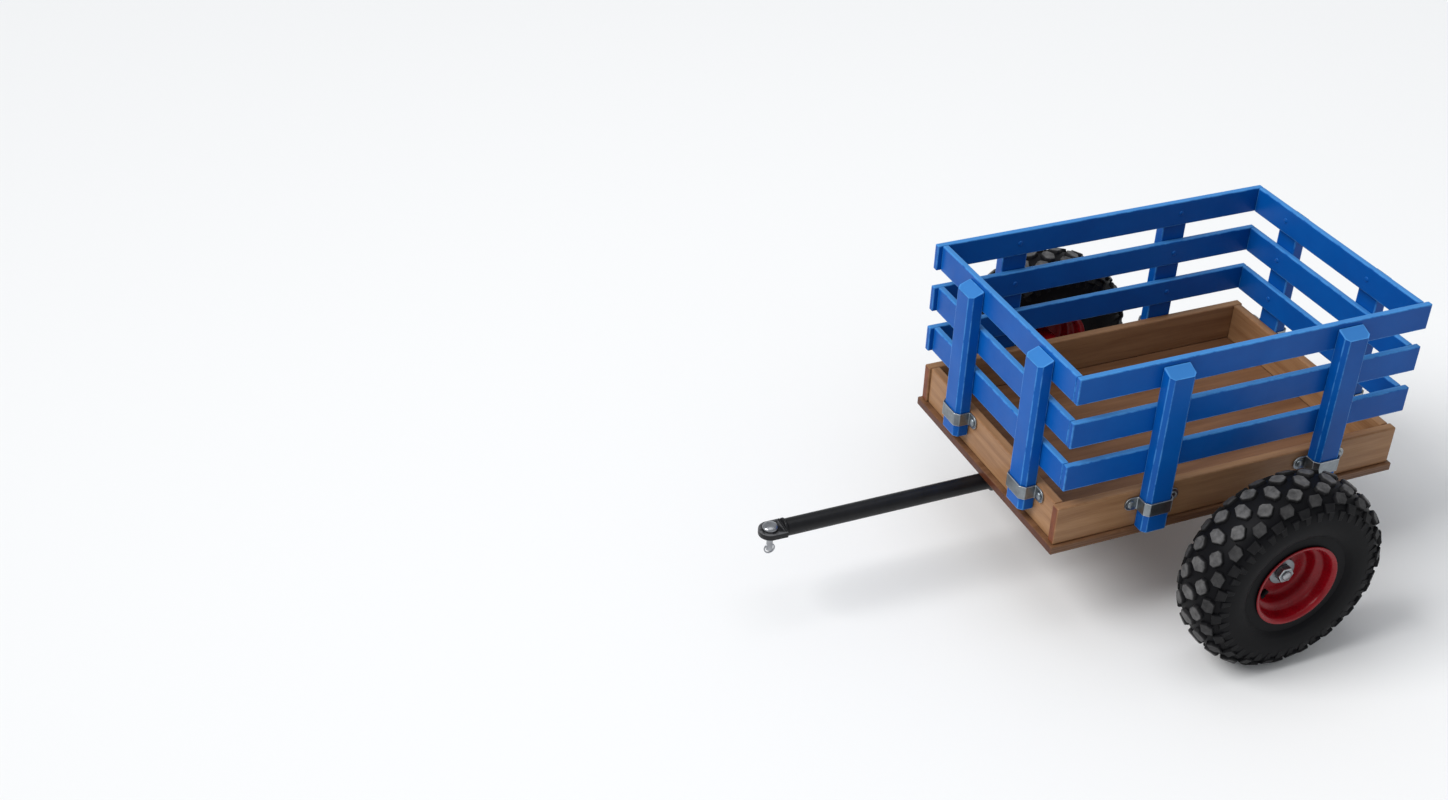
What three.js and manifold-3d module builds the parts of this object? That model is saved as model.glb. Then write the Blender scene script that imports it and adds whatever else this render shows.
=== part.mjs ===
// Two-wheeled stake-side wagon that is towed by a rigid bar: a shallow wooden box on one axle,
// four lift-off slatted racks held in strap brackets, pneumatic wheels and a pinned tow tongue.
// Millimetres, +X forward along the tow bar, +Y to the wagon's left, +Z up, ground at Z = 0.
import * as THREE from 'three';
import { mergeVertices } from 'three/addons/utils/BufferGeometryUtils.js';
import Module from 'manifold-3d';

const wasm = await Module();
wasm.setup();

// ---------------------------------------------------------------- driving dimensions

const fitGap = 0.3; // between pieces that touch or slide on each other

// wheels and axle
const tyreRadius = 130;
const tyreWidth = 82;
const tyreWall = 5.5;
const trackWidth = 562; // between the middles of the two tyres
const beadRadius = 52;
const beadHalfWidth = 33;
const beadChamfer = 3.5;
const beadSeatGap = 0.5; // between the bead and the rim under it
const beadSideGap = 1; // between the bead and the rim's flange
const rimSheet = 2;
const rimFlangeRise = 6.5; // from the rim's seat to its lip
const rimStepWidth = 8;
const rimStepOffset = 16.5;
const rimWallDepth = 16.5; // from the rim's seat in to its web
const hubWall = 2.4;
const hubFlangeInset = 7; // from the edge of the rim's web
const hubFlangeThickness = 3;
const hubInboardReach = 50;
const hubOutboardReach = 4;
const hubBoreClearance = 3;
const bearingRadius = 13;
const bearingWidth = 8;
const journalRadius = 6;
const axleShoulder = 1; // step from the journals to the axle's middle
const axleTipReach = 17; // beyond the middle of the tyre
const washerRadius = 17.5;
const washerThickness = 2;
const nutAcrossFlats = 19;
const nutHeight = 8;
const valveRadius = 4;
const valveBoreRadius = 1.6;
const valveOffset = 10; // outboard of the middle of the wheel
const valveTipReach = 5; // inward past the rim's wall
const valveAngle = -Math.PI / 4; // from forward, turning up
const tubeWall = 2;

// box
const boxLength = 492;
const boxWidth = 336;
const boardHeight = 52;
const boardThickness = 12;
const endBoardInset = 3;
const floorThickness = 12;
const floorLedge = 4;
const rebateDepth = 1;

// racks
const slatHeight = 35;
const slatThickness = 8;
const slatGap = 25;
const slatNames = ['bottom', 'middle', 'top'];
const sideRackShift = 3;
const stakeWidth = 36;
const stakeThickness = 19;
const stakeChamfer = 5;
const stakeTopDrop = 6; // from the top slat's upper edge to the stake's
const stakeTopBevel = 9;
const endStakeRise = 16; // from the ledge to the feet of the end racks' stakes
const sideStakeSpacing = 244;
const sideStakeShift = 7;
const endStakeSpacing = 164;
const endStakeShift = 14;

// strap brackets
const strapSheet = 2;
const strapHeight = 18;
const sideStrapDrop = 8.5; // from the box's top to the strap's upper edge
const endStrapDrop = 1;
const strapEar = 17.5;
const strapHoleRadius = 2.8;

// tow bar, tongue and hitch
const barRadius = 11;
const barWall = 2;
const barRearEnd = 20; // ahead of the axle
const barFrontEnd = 517;
const saddleSheet = 3;
const saddleEar = 16;
const saddleHoleRadius = 3.3;
const axleSaddleWidth = 30;
const axleSaddleSpacing = 290;
const barSaddleWidth = 26;
const barSaddlePlaces = [60, 222];
const tongueWidth = 30;
const tongueThickness = 8;
const tongueCollarStep = 1.5; // beyond the tow bar all round
const tongueCollarWidth = 3;
const tongueSpigotLength = 20;
const hitchReach = 20; // from the tow bar's end to the pin
const pinRadius = 4;
const pinHeadRadius = 10;
const pinHeadHeight = 6;
const pinTail = 25; // below the tongue
const pinHoleRise = 8; // from the pin's tip to the middle of its cross hole
const ringRadius = 6.5; // to the middle of the wire
const ringWireRadius = 0.9;

// ---------------------------------------------------------------- places worked out from them

const rimSeatRadius = beadRadius - beadSeatGap - rimSheet;
const rimLipRadius = rimSeatRadius + rimFlangeRise;
const rimLipOffset = beadHalfWidth + beadSideGap + rimSheet;
const rimStepRadius = rimSeatRadius - rimStepWidth;
const rimWebRadius = rimSeatRadius - rimWallDepth;
const valveTipRadius = rimWebRadius - valveTipReach;
const axleRadius = journalRadius + axleShoulder;
const hubFlangeRadius = rimWebRadius - hubFlangeInset;
const hubBoreRadius = journalRadius + hubBoreClearance;
const hubOuterRadius = bearingRadius + fitGap + hubWall;
const tongueCollarRadius = barRadius + tongueCollarStep;
const hitchPlace = barFrontEnd + hitchReach;
const axleHeight = tyreRadius;
const floorBottom = axleHeight + axleRadius + fitGap;
const floorTop = floorBottom + floorThickness;
const ledgeTop = floorTop - rebateDepth;
const boxTop = floorTop + boardHeight;
const slatPitch = slatHeight + slatGap;
const rackTop = boxTop + slatPitch * slatNames.length;
const sideFace = boxWidth / 2;
const endFace = boxLength / 2 - endBoardInset;
const barHeight = floorBottom - fitGap - barRadius;
const tongueTop = barHeight + tongueThickness / 2;
const rearReach = endFace + stakeThickness + strapSheet + 2 * fitGap;
const frontReach = hitchPlace + tongueWidth / 2;

// ---------------------------------------------------------------- materials

const material = (color, roughness, metalness) =>
  new THREE.MeshStandardMaterial({ color, roughness, metalness });
const varnishedWood = material(0x9a7450, 0.5, 0);
const bluePaintedWood = material(0x0c5aa0, 0.4, 0);
const zincPlate = material(0x8d9498, 0.4, 0.9);
const blackPaint = material(0x1a1a1c, 0.45, 0.3);
const redPaint = material(0x5c0c12, 0.35, 0.2);
const tyreRubber = material(0x161719, 0.85, 0);
const tubeRubber = material(0x202124, 0.8, 0);
const bareSteel = material(0xa4a7aa, 0.3, 1);

// ---------------------------------------------------------------- solids

const wagon = new THREE.Group();
wagon.position.x = (rearReach - frontReach) / 2; // the origin stands under the middle of the length

function addMesh(name, geometry, finish, parent = wagon) {
  const mesh = new THREE.Mesh(geometry, finish);
  mesh.name = name;
  parent.add(mesh);
  return mesh;
}

function toSolid(geometry) {
  const bare = geometry.clone();
  bare.deleteAttribute('normal');
  bare.deleteAttribute('uv');
  const merged = mergeVertices(bare, 1e-4);
  return new wasm.Manifold(
    new wasm.Mesh({
      numProp: 3,
      vertProperties: new Float32Array(merged.attributes.position.array),
      triVerts: new Uint32Array(merged.index.array),
    }),
  );
}

function toGeometry(solid) {
  const mesh = solid.getMesh();
  const geometry = new THREE.BufferGeometry();
  geometry.setAttribute('position', new THREE.BufferAttribute(mesh.vertProperties, mesh.numProp));
  geometry.setIndex(new THREE.BufferAttribute(mesh.triVerts, 1));
  geometry.computeVertexNormals();
  return geometry;
}

const cut = (body, tools) =>
  toGeometry(tools.reduce((solid, tool) => solid.subtract(toSolid(tool)), toSolid(body)));

const join = (body, others) =>
  toGeometry(others.reduce((solid, other) => solid.add(toSolid(other)), toSolid(body)));

// A block between two corners.
function block([x0, y0, z0], [x1, y1, z1]) {
  const geometry = new THREE.BoxGeometry(x1 - x0, y1 - y0, z1 - z0);
  return geometry.translate((x0 + x1) / 2, (y0 + y1) / 2, (z0 + z1) / 2);
}

// An outline in X and Y, drawn up from z0 to z1.
function prism(points, z0, z1) {
  const shape = new THREE.Shape(points.map(([x, y]) => new THREE.Vector2(x, y)));
  return new THREE.ExtrudeGeometry(shape, { depth: z1 - z0, bevelEnabled: false }).translate(0, 0, z0);
}

// A closed outline of radius and offset, turned about the Y axis.
function turned(points, segments) {
  const outline = points.map(([radius, offset]) => new THREE.Vector2(radius, offset));
  outline.push(outline[0].clone());
  const signedArea = outline.slice(1).reduce((sum, p, i) => sum + outline[i].cross(p), 0);
  if (signedArea < 0) outline.reverse();
  return new THREE.LatheGeometry(outline, segments);
}

const ring = (innerRadius, outerRadius, y0, y1, segments) =>
  turned([[innerRadius, y0], [outerRadius, y0], [outerRadius, y1], [innerRadius, y1]], segments);

// A rod along Y from y0 to y1; turn it with rotateX or rotateZ for the other axes.
const rod = (radius, y0, y1, segments = 16) =>
  new THREE.CylinderGeometry(radius, radius, y1 - y0, segments).translate(0, (y0 + y1) / 2, 0);

// ---------------------------------------------------------------- box

function buildFloor() {
  const halfLength = boxLength / 2 + floorLedge;
  const halfWidth = boxWidth / 2 + floorLedge;
  const panel = block(
    [-halfLength, -halfWidth, floorBottom],
    [halfLength, halfWidth, ledgeTop],
  );
  // the boards stand in a shallow rebate round this raised field
  const fieldX = endFace - boardThickness - fitGap;
  const fieldY = sideFace - boardThickness - fitGap;
  const field = block([-fieldX, -fieldY, floorBottom + rebateDepth], [fieldX, fieldY, floorTop]);
  addMesh('floor_panel', join(panel, [field]), varnishedWood);
}

function buildBoards() {
  for (const [name, side] of [['left', 1], ['right', -1]]) {
    const faces = [side * sideFace, side * (sideFace - boardThickness)].sort((a, b) => a - b);
    addMesh(
      `${name}_side_board`,
      block([-boxLength / 2, faces[0], ledgeTop + fitGap], [boxLength / 2, faces[1], boxTop]),
      varnishedWood,
    );
  }
  const halfSpan = sideFace - boardThickness - fitGap;
  for (const [name, end] of [['front', 1], ['rear', -1]]) {
    const faces = [end * endFace, end * (endFace - boardThickness)].sort((a, b) => a - b);
    addMesh(
      `${name}_end_board`,
      block([faces[0], -halfSpan, ledgeTop + fitGap], [faces[1], halfSpan, boxTop]),
      varnishedWood,
    );
  }
}

// ---------------------------------------------------------------- racks and strap brackets
// Each side of the box has its own group: local Y points outward from the box's outer face,
// Z is up and X runs along the side, to the left of someone who faces it from outside.

function stakeGeometry(foot) {
  const inner = fitGap;
  const outer = fitGap + stakeThickness;
  const head = rackTop - stakeTopDrop;
  const profile = [[inner, foot], [outer, foot], [outer, head - stakeTopBevel], [inner, head]];
  // the profile lies in Y and Z and is drawn across the stake's width
  const stake = prism(profile, -stakeWidth / 2, stakeWidth / 2);
  stake.rotateX(Math.PI / 2).rotateZ(Math.PI / 2);
  const spare = 1;
  const chamfers = [1, -1].map((side) => {
    const edge = (side * stakeWidth) / 2;
    const corner = [
      [edge - side * stakeChamfer, outer],
      [edge + side * spare, outer - stakeChamfer - spare],
      [edge + side * spare, outer + spare],
      [edge - side * stakeChamfer, outer + spare],
    ];
    return prism(side > 0 ? corner : corner.reverse(), foot - spare, head + spare);
  });
  return cut(stake, chamfers);
}

function strapGeometry(drop) {
  const legX = stakeWidth / 2 + fitGap;
  const faceY = stakeThickness + 2 * fitGap;
  const wrap = strapSheet * (Math.SQRT2 - 1); // keeps the sheet's thickness round a 45 degree corner
  const earX = legX + strapSheet + strapEar;
  const half = [
    [earX, fitGap],
    [earX, fitGap + strapSheet],
    [legX + strapSheet, fitGap + strapSheet],
    [legX + strapSheet, faceY - stakeChamfer + wrap],
    [legX - stakeChamfer + wrap, faceY + strapSheet],
  ];
  const inside = [[legX, fitGap], [legX, faceY - stakeChamfer], [legX - stakeChamfer, faceY]];
  const mirrored = (points) => points.map(([x, y]) => [-x, y]).reverse();
  const outline = [...half, ...mirrored(half), ...mirrored(inside).reverse(), ...[...inside].reverse()];
  const z0 = boxTop - drop - strapHeight;
  const strap = prism(outline, z0, z0 + strapHeight);
  const holeX = legX + strapSheet + strapEar / 2;
  const holes = [holeX, -holeX].map((x) =>
    rod(strapHoleRadius, -1, fitGap + strapSheet + 1, 12).translate(x, 0, z0 + strapHeight / 2),
  );
  return cut(strap, holes);
}

function buildSide({ name, angle, face, slatLength, slatShift, spacing, shift, foot, strapDrop, stakes }) {
  const side = new THREE.Group();
  side.rotation.z = angle;
  wagon.add(side);
  slatNames.forEach((level, i) => {
    const z0 = boxTop + slatGap + i * slatPitch;
    addMesh(
      `${name}_rack_${level}_slat`,
      block(
        [-slatLength / 2 - slatShift, face - slatThickness, z0],
        [slatLength / 2 - slatShift, face, z0 + slatHeight],
      ),
      bluePaintedWood,
      side,
    );
  });
  stakes.forEach((stakeName, i) => {
    const x = (i === 0 ? spacing / 2 : -spacing / 2) - shift;
    const stake = addMesh(`${name}_rack_${stakeName}_stake`, stakeGeometry(foot), bluePaintedWood, side);
    stake.position.set(x, face, 0);
    const strap = addMesh(`${name}_strap_${stakeName}`, strapGeometry(strapDrop), zincPlate, side);
    strap.position.set(x, face, 0);
  });
}

function buildSides() {
  const sideRack = {
    face: sideFace,
    slatLength: boxLength,
    slatShift: sideRackShift,
    spacing: sideStakeSpacing,
    shift: sideStakeShift,
    foot: ledgeTop + fitGap,
    strapDrop: sideStrapDrop,
  };
  const endRack = {
    face: endFace,
    slatLength: boxWidth - 2 * (slatThickness + fitGap),
    slatShift: 0,
    spacing: endStakeSpacing,
    shift: endStakeShift,
    foot: ledgeTop + endStakeRise,
    strapDrop: endStrapDrop,
  };
  buildSide({ ...sideRack, name: 'left', angle: 0, stakes: ['front', 'rear'] });
  buildSide({ ...sideRack, name: 'right', angle: Math.PI, stakes: ['rear', 'front'] });
  buildSide({ ...endRack, name: 'front', angle: -Math.PI / 2, stakes: ['right', 'left'] });
  buildSide({ ...endRack, name: 'rear', angle: Math.PI / 2, stakes: ['left', 'right'] });
}

// ---------------------------------------------------------------- axle and tow bar

// A bent strap that holds a round bar of the given radius up against the floor; the bar runs
// along Z here, the floor is towards +Y and the bar's middle is at the origin.
function saddleGeometry(heldRadius, width) {
  const inner = heldRadius + fitGap;
  const outer = inner + saddleSheet;
  const top = heldRadius; // the gap to the floor is the same as the bar's own
  const earX = outer + saddleEar;
  const shape = new THREE.Shape();
  shape.moveTo(-earX, top);
  shape.lineTo(-earX, top - saddleSheet);
  shape.lineTo(-outer, top - saddleSheet);
  shape.lineTo(-outer, 0);
  shape.absarc(0, 0, outer, Math.PI, 2 * Math.PI, false);
  shape.lineTo(outer, top - saddleSheet);
  shape.lineTo(earX, top - saddleSheet);
  shape.lineTo(earX, top);
  shape.lineTo(inner, top);
  shape.lineTo(inner, 0);
  shape.absarc(0, 0, inner, 2 * Math.PI, Math.PI, true);
  shape.lineTo(-inner, top);
  const saddle = new THREE.ExtrudeGeometry(shape, {
    depth: width,
    bevelEnabled: false,
    curveSegments: 8,
  }).translate(0, 0, -width / 2);
  const holes = [1, -1].map((side) =>
    rod(saddleHoleRadius, top - saddleSheet - 1, top + 1, 12).translate(
      side * (outer + saddleEar / 2),
      0,
      0,
    ),
  );
  return cut(saddle, holes);
}

function buildAxle() {
  const shoulder = trackWidth / 2 - hubInboardReach - fitGap;
  const tip = trackWidth / 2 + axleTipReach;
  const half = [[axleRadius, shoulder], [journalRadius, shoulder], [journalRadius, tip], [0, tip]];
  const mirrored = half.map(([radius, y]) => [radius, -y]).reverse();
  const outline = [...mirrored, ...half].map(([radius, y]) => new THREE.Vector2(radius, y));
  const axle = addMesh('axle_rod', new THREE.LatheGeometry(outline, 20), bareSteel);
  axle.position.z = axleHeight;
  for (const [name, side] of [['left', 1], ['right', -1]]) {
    const saddle = addMesh(`${name}_axle_saddle`, saddleGeometry(axleRadius, axleSaddleWidth), blackPaint);
    saddle.rotation.x = Math.PI / 2;
    saddle.position.set(0, (side * axleSaddleSpacing) / 2, axleHeight);
  }
}

function buildTowBar() {
  const bar = addMesh(
    'tow_bar',
    ring(barRadius - barWall, barRadius, barRearEnd, barFrontEnd, 24).rotateZ(-Math.PI / 2),
    blackPaint,
  );
  bar.position.z = barHeight;
  barSaddlePlaces.forEach((x, i) => {
    const saddle = addMesh(
      `${['rear', 'front'][i]}_bar_saddle`,
      saddleGeometry(barRadius, barSaddleWidth).rotateX(Math.PI / 2).rotateZ(Math.PI / 2),
      blackPaint,
    );
    saddle.position.set(x, 0, barHeight);
  });
}

function buildTongue() {
  const collarStart = barFrontEnd + fitGap;
  const collarEnd = collarStart + tongueCollarWidth;
  const spigotRadius = barRadius - barWall - fitGap;
  const spigot = rod(spigotRadius, barFrontEnd - tongueSpigotLength, collarEnd, 20).rotateZ(-Math.PI / 2);
  const collar = rod(tongueCollarRadius, collarStart, collarEnd, 24).rotateZ(-Math.PI / 2);
  const halfWidth = tongueWidth / 2;
  const shape = new THREE.Shape();
  shape.moveTo(collarEnd - 1, -halfWidth);
  shape.lineTo(hitchPlace, -halfWidth);
  shape.absarc(hitchPlace, 0, halfWidth, -Math.PI / 2, Math.PI / 2, false);
  shape.lineTo(collarEnd - 1, halfWidth);
  const hole = new THREE.Path();
  hole.absarc(hitchPlace, 0, pinRadius + fitGap, 0, 2 * Math.PI, true);
  shape.holes.push(hole);
  const plate = new THREE.ExtrudeGeometry(shape, {
    depth: tongueThickness,
    bevelEnabled: false,
    curveSegments: 12,
  }).translate(0, 0, -tongueThickness / 2);
  const tongue = addMesh('hitch_tongue', join(collar, [spigot, plate]), blackPaint);
  tongue.position.z = barHeight;
}

// The ring curves inside the pin's straight cross hole, so the hole takes the curve's rise as well
// as the wire, and the ring hangs a little high in it.
const ringInnerRise =
  ringRadius - Math.sqrt((ringRadius - ringWireRadius) ** 2 - pinRadius ** 2);
const pinHoleRadius = (ringInnerRise + ringWireRadius) / 2 + fitGap;
const ringLift = (ringInnerRise - ringWireRadius) / 2;

// The pin stands in the tongue's hole, its domed head on top; local Y is up from the tongue's top.
function buildHitchPin() {
  const tip = -tongueThickness - pinTail;
  const chamfer = 1;
  const flat = 2; // the head's straight rim below its dome
  const shank = [[0, tip], [pinRadius - chamfer, tip], [pinRadius, tip + chamfer], [pinRadius, fitGap]];
  const dome = [0, 1, 2, 3, 4].map((i) => {
    const turn = (i * Math.PI) / 8;
    const height = fitGap + flat + (pinHeadHeight - flat) * Math.sin(turn);
    return [i < 4 ? pinHeadRadius * Math.cos(turn) : 0, height];
  });
  const outline = [...shank, [pinHeadRadius, fitGap], ...dome];
  const blank = new THREE.LatheGeometry(outline.map(([r, y]) => new THREE.Vector2(r, y)), 24);
  const crossHole = rod(pinHoleRadius, -2 * pinRadius, 2 * pinRadius, 12)
    .rotateZ(Math.PI / 2)
    .translate(0, tip + pinHoleRise, 0);
  const pin = addMesh('hitch_pin', cut(blank, [crossHole]).rotateX(Math.PI / 2), bareSteel);
  pin.position.set(hitchPlace, 0, tongueTop);
}

// The ring hangs upright from the cross hole and keeps the pin from lifting out.
function buildHitchRing() {
  const section = Array.from({ length: 8 }, (_, i) => {
    const turn = (i * Math.PI) / 4;
    return [ringRadius + ringWireRadius * Math.cos(turn), ringWireRadius * Math.sin(turn)];
  });
  const ringMesh = addMesh('hitch_ring', turned(section, 24), bareSteel);
  const holeHeight = tongueTop - tongueThickness - pinTail + pinHoleRise;
  ringMesh.position.set(hitchPlace, 0, holeHeight + ringLift - ringRadius);
}

// ---------------------------------------------------------------- wheels
// Local Y is the wheel's axis and points outboard; the middle of the tyre is at Y = 0.

// Points of a squarish oval about (middleRadius, 0), from angle start to end; 0 is outboard.
function ovalArc(middleRadius, halfHeight, halfWidth, squareness, start, end, count) {
  const power = (value) => Math.sign(value) * Math.abs(value) ** (2 / squareness);
  return Array.from({ length: count }, (_, i) => {
    const turn = start + ((end - start) * i) / (count - 1);
    return [middleRadius + halfHeight * power(Math.sin(turn)), halfWidth * power(Math.cos(turn))];
  });
}

function buildTyre(wheel, name) {
  const squareness = 2.5;
  const middle = (beadRadius + tyreRadius) / 2;
  const halfHeight = (tyreRadius - beadRadius) / 2;
  // the oval stops above each bead, where its side is at the bead's own offset
  const beadTurn = -Math.acos((beadHalfWidth / (tyreWidth / 2)) ** (squareness / 2));
  const outside = ovalArc(
    middle, halfHeight, tyreWidth / 2, squareness, beadTurn, Math.PI - beadTurn, 15,
  );
  const inside = ovalArc(
    middle, halfHeight - tyreWall, tyreWidth / 2 - tyreWall, squareness,
    Math.PI - beadTurn, beadTurn, 9,
  );
  const beadInside = beadHalfWidth - beadChamfer - tyreWall / 2;
  const outline = [
    [beadRadius, beadHalfWidth - beadChamfer], [beadRadius + beadChamfer, beadHalfWidth],
    ...outside,
    [beadRadius + beadChamfer, -beadHalfWidth], [beadRadius, beadChamfer - beadHalfWidth],
    [beadRadius, -beadInside], ...inside, [beadRadius, beadInside],
  ];
  addMesh(`${name}_tyre`, turned(outline, 40), tyreRubber, wheel);
}

function buildInnerTube(wheel, name) {
  const reach = tyreWall + 2;
  const middle = (beadRadius + tyreRadius) / 2;
  const halfHeight = (tyreRadius - beadRadius) / 2 - reach;
  const halfWidth = tyreWidth / 2 - reach;
  const oval = (wall) =>
    turned(ovalArc(middle, halfHeight - wall, halfWidth - wall, 2, 0, 2 * Math.PI, 11).slice(0, -1), 28);
  // the stem's root just reaches the tube's hollow
  const lean = Math.sqrt(1 - (valveOffset / (halfWidth - tubeWall)) ** 2);
  const root = middle - (halfHeight - tubeWall) * lean + 2;
  const stem = (radius, tip) =>
    rod(radius, tip, root, 12)
      .rotateZ(-Math.PI / 2)
      .rotateY(-valveAngle)
      .translate(0, valveOffset, 0);
  const body = toSolid(oval(0)).add(toSolid(stem(valveRadius, valveTipRadius)));
  const hollow = toSolid(oval(tubeWall)).add(toSolid(stem(valveBoreRadius, valveTipRadius - 1)));
  addMesh(`${name}_inner_tube`, toGeometry(body.subtract(hollow)), tubeRubber, wheel);
}

// One pressed half of the rim; side is 1 for the outboard half and -1 for the inboard one.
function rimHalfGeometry(side) {
  const web = rimSheet + fitGap / 2;
  const dish = [
    [hubOuterRadius + fitGap, web],
    [rimWebRadius, web],
    [rimWebRadius + 3.5, web + 2.5],
    [rimStepRadius - 2.5, rimStepOffset - 3],
    [rimStepRadius, rimStepOffset],
    [rimSeatRadius - 3, rimStepOffset + 1.5],
    [rimSeatRadius - 0.8, rimStepOffset + 5],
    [rimSeatRadius, rimLipOffset - 4],
    [rimSeatRadius + 2.5, rimLipOffset - 1],
    [rimLipRadius, rimLipOffset],
  ];
  const back = [
    [rimLipRadius, rimLipOffset - rimSheet],
    [rimSeatRadius + 3.4, rimLipOffset - rimSheet - 0.9],
    [rimSeatRadius + rimSheet, rimLipOffset - 5],
    [rimSeatRadius + rimSheet - 0.8, rimStepOffset + 4],
    [rimSeatRadius - 2, rimStepOffset - 0.5],
    [rimStepRadius + 1.2, rimStepOffset - 1.9],
    [rimStepRadius - 0.5, rimStepOffset - 4],
    [rimWebRadius + 5.2, web + 1.6],
    [rimWebRadius + 1.5, fitGap / 2],
    [hubOuterRadius + fitGap, fitGap / 2],
  ];
  return turned([...dish, ...back].map(([radius, y]) => [radius, side * y]), 32);
}

function buildRim(wheel, name) {
  const valveHole = rod(valveRadius + fitGap, rimWebRadius - 4, rimSeatRadius, 12)
    .rotateZ(-Math.PI / 2)
    .rotateY(-valveAngle)
    .translate(0, valveOffset, 0);
  addMesh(`${name}_rim_outer_half`, cut(rimHalfGeometry(1), [valveHole]), redPaint, wheel);
  addMesh(`${name}_rim_inner_half`, rimHalfGeometry(-1), redPaint, wheel);
}

function buildHub(wheel, name) {
  const seat = bearingRadius + fitGap;
  const seatDepth = bearingWidth + fitGap;
  const flangeTop = -(rimSheet + 1.5 * fitGap);
  const outline = [
    [seat, hubOutboardReach],
    [hubOuterRadius, hubOutboardReach],
    [hubOuterRadius, flangeTop],
    [hubFlangeRadius, flangeTop],
    [hubFlangeRadius, flangeTop - hubFlangeThickness],
    [hubOuterRadius, flangeTop - hubFlangeThickness],
    [hubOuterRadius, -hubInboardReach],
    [seat, -hubInboardReach],
    [seat, seatDepth - hubInboardReach],
    [hubBoreRadius, seatDepth - hubInboardReach],
    [hubBoreRadius, hubOutboardReach - seatDepth],
    [seat, hubOutboardReach - seatDepth],
  ];
  addMesh(`${name}_hub`, turned(outline, 24), redPaint, wheel);
  const bearing = (y0) => ring(journalRadius + fitGap, bearingRadius, y0, y0 + bearingWidth, 20);
  addMesh(`${name}_outer_bearing`, bearing(hubOutboardReach - bearingWidth), bareSteel, wheel);
  addMesh(`${name}_inner_bearing`, bearing(-hubInboardReach), bareSteel, wheel);
}

function buildWheelFixings(wheel, name) {
  const washerStart = hubOutboardReach + fitGap;
  const washerEnd = washerStart + washerThickness;
  addMesh(
    `${name}_axle_washer`,
    ring(journalRadius + fitGap, washerRadius, washerStart, washerEnd, 24),
    zincPlate,
    wheel,
  );
  const corner = nutAcrossFlats / 2 / Math.cos(Math.PI / 6);
  const hexagon = Array.from({ length: 6 }, (_, i) => {
    const turn = (i * Math.PI) / 3;
    return new THREE.Vector2(corner * Math.cos(turn), corner * Math.sin(turn));
  });
  const shape = new THREE.Shape(hexagon);
  const bore = new THREE.Path();
  bore.absarc(0, 0, journalRadius + fitGap, 0, 2 * Math.PI, true);
  shape.holes.push(bore);
  const nut = new THREE.ExtrudeGeometry(shape, { depth: nutHeight, bevelEnabled: false, curveSegments: 10 });
  nut.rotateX(-Math.PI / 2).translate(0, washerEnd + fitGap, 0);
  addMesh(`${name}_axle_nut`, nut, zincPlate, wheel);
}

function buildWheels() {
  for (const [name, side] of [['left', 1], ['right', -1]]) {
    const wheel = new THREE.Group();
    wheel.rotation.z = side > 0 ? 0 : Math.PI;
    wheel.position.set(0, (side * trackWidth) / 2, axleHeight);
    wagon.add(wheel);
    buildTyre(wheel, `${name}_wheel`);
    buildInnerTube(wheel, `${name}_wheel`);
    buildRim(wheel, `${name}_wheel`);
    buildHub(wheel, `${name}_wheel`);
    buildWheelFixings(wheel, name);
  }
}

// ---------------------------------------------------------------- the whole wagon

buildFloor();
buildBoards();
buildSides();
buildAxle();
buildTowBar();
buildTongue();
buildHitchPin();
buildHitchRing();
buildWheels();

export default wagon;
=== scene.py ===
import math
import bpy
import numpy as np
from mathutils import Matrix, Vector


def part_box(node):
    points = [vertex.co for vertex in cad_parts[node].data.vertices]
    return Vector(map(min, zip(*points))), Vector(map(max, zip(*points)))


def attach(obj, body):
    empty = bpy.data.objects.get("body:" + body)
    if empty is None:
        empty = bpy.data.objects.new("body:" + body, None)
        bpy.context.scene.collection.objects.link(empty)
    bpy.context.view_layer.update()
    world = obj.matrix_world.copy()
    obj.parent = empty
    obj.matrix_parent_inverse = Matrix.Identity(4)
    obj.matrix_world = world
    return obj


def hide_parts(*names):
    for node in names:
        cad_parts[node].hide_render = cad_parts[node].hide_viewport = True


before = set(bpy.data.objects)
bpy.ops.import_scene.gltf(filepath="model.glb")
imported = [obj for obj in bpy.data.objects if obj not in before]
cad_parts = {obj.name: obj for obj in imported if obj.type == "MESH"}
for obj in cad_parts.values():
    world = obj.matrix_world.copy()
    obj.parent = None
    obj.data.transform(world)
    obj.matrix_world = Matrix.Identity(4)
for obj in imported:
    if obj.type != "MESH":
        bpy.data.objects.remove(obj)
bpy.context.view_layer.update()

# ---------------------------------------------------------------- floor of the box
# One panel of plywood under the whole wagon, with a narrow ledge showing all round the boards.
# It is sawn to size, its edges are eased with sandpaper, and it is varnished with the rest.

mm = 0.001
fit = 0.3 * mm
least_arc = 0.03 * mm


def box_of(node):
    """The lowest and highest corners of a CAD node, as arrays."""
    low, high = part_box(node)
    return np.array(low), np.array(high)


def oblong(x0, y0, x1, y1):
    """The four corners of a rectangle, anticlockwise."""
    return [(x0, y0), (x1, y0), (x1, y1), (x0, y1)]


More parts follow.
